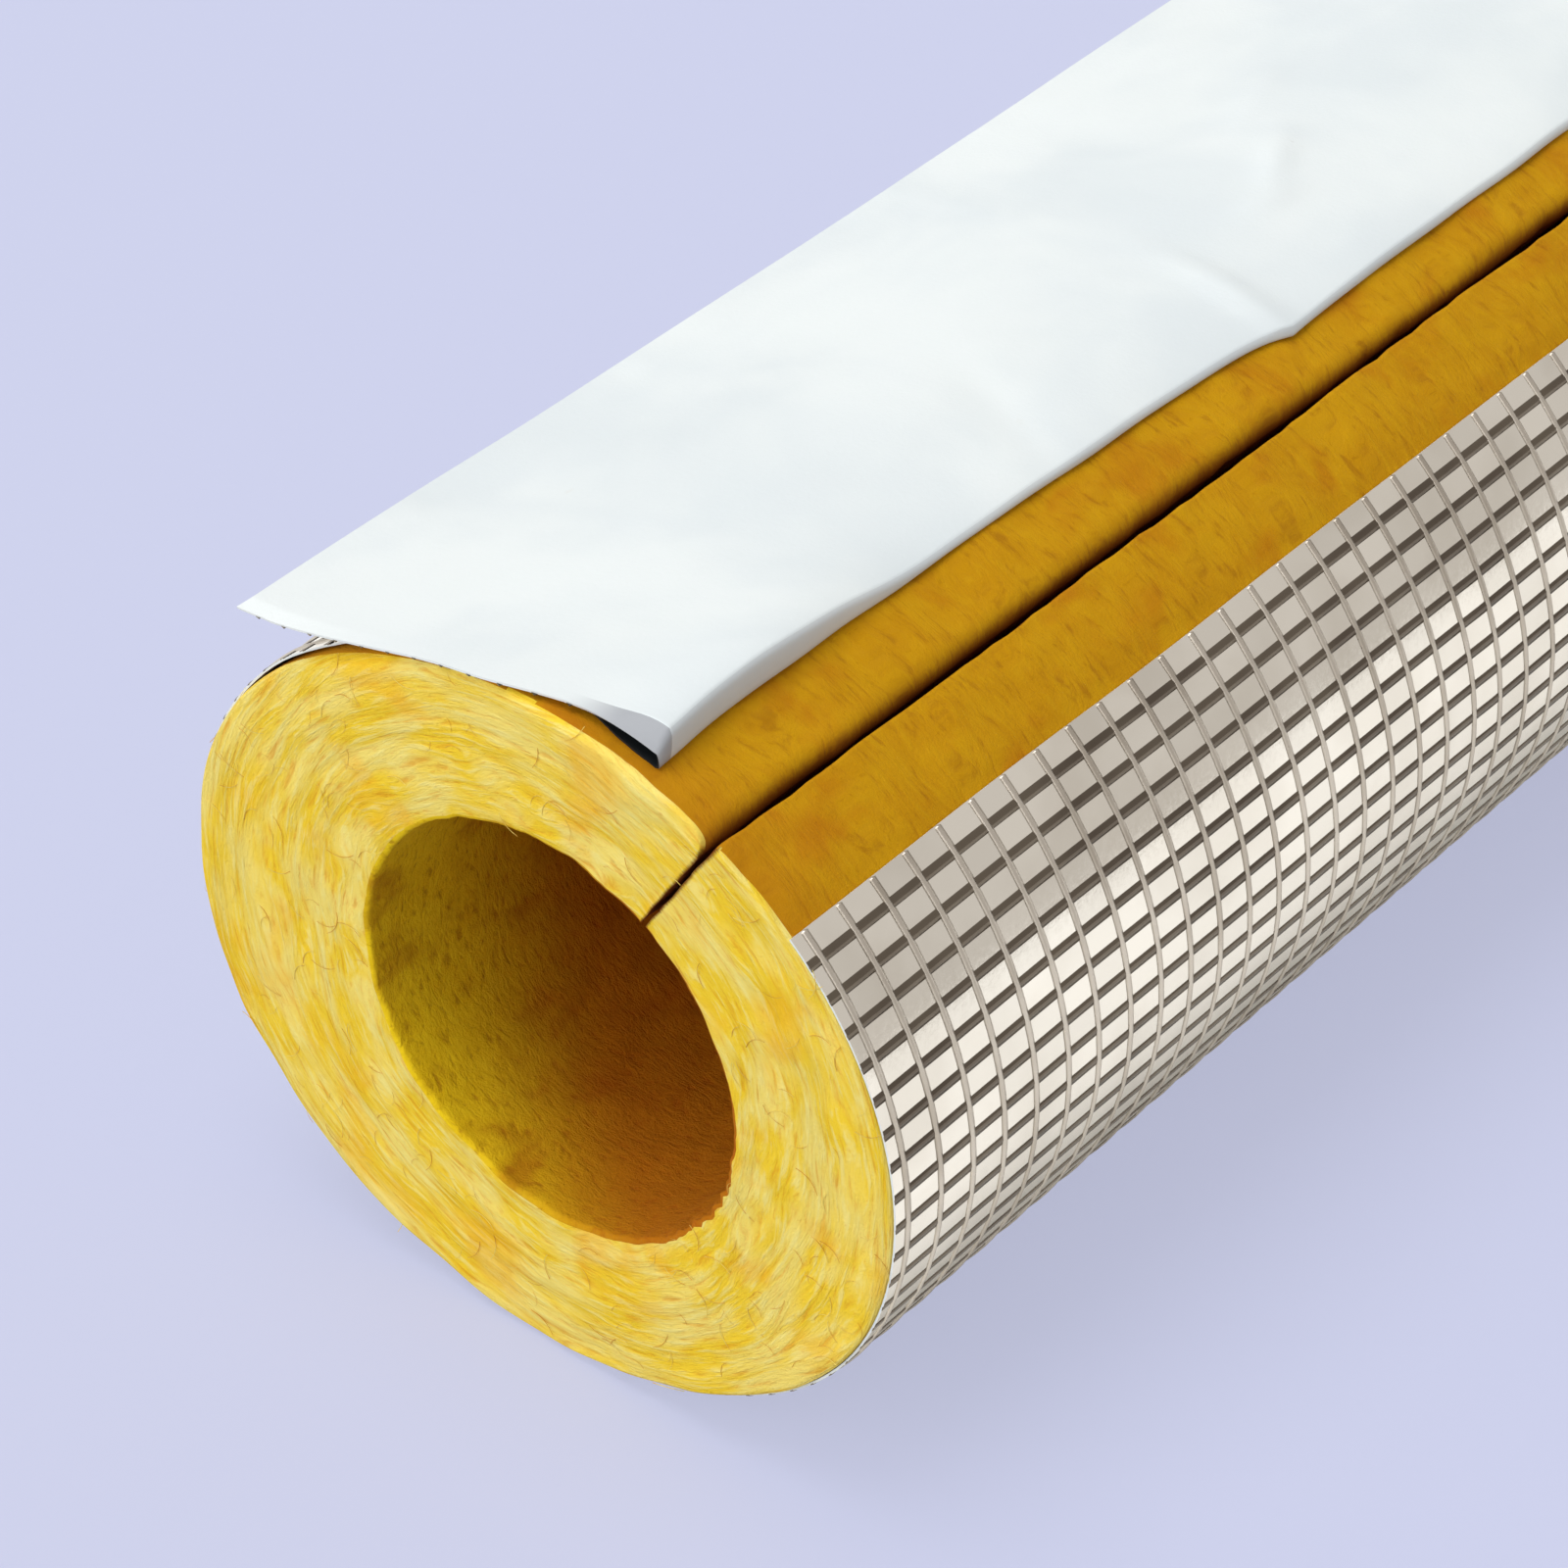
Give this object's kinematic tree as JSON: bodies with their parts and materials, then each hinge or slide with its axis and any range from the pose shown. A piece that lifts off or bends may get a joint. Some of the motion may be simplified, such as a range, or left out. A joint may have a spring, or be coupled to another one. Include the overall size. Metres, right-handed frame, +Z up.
{
  "type": "fiberglass pipe insulation",
  "caption": "Slit glass-wool tube section with a bonded foil-and-paper facing and a folded-back closing lap, for lagging a straight pipe.",
  "frame": {"origin": "centre of the bore at the near end face", "axes": "+Y along the bore into the part, +Z up as it lies, +X towards the slit's side"},
  "size_m": [0.1176, 1, 0.1089],
  "materials": {
    "glass_wool": "matte, fibrous",
    "foil_facing": "bright foil over a scrim, white paper inside"
  },
  "bodies": {
    "root": {"wool_shell": "glass_wool", "foil_facing": "foil_facing"}
  },
  "joints": []
}
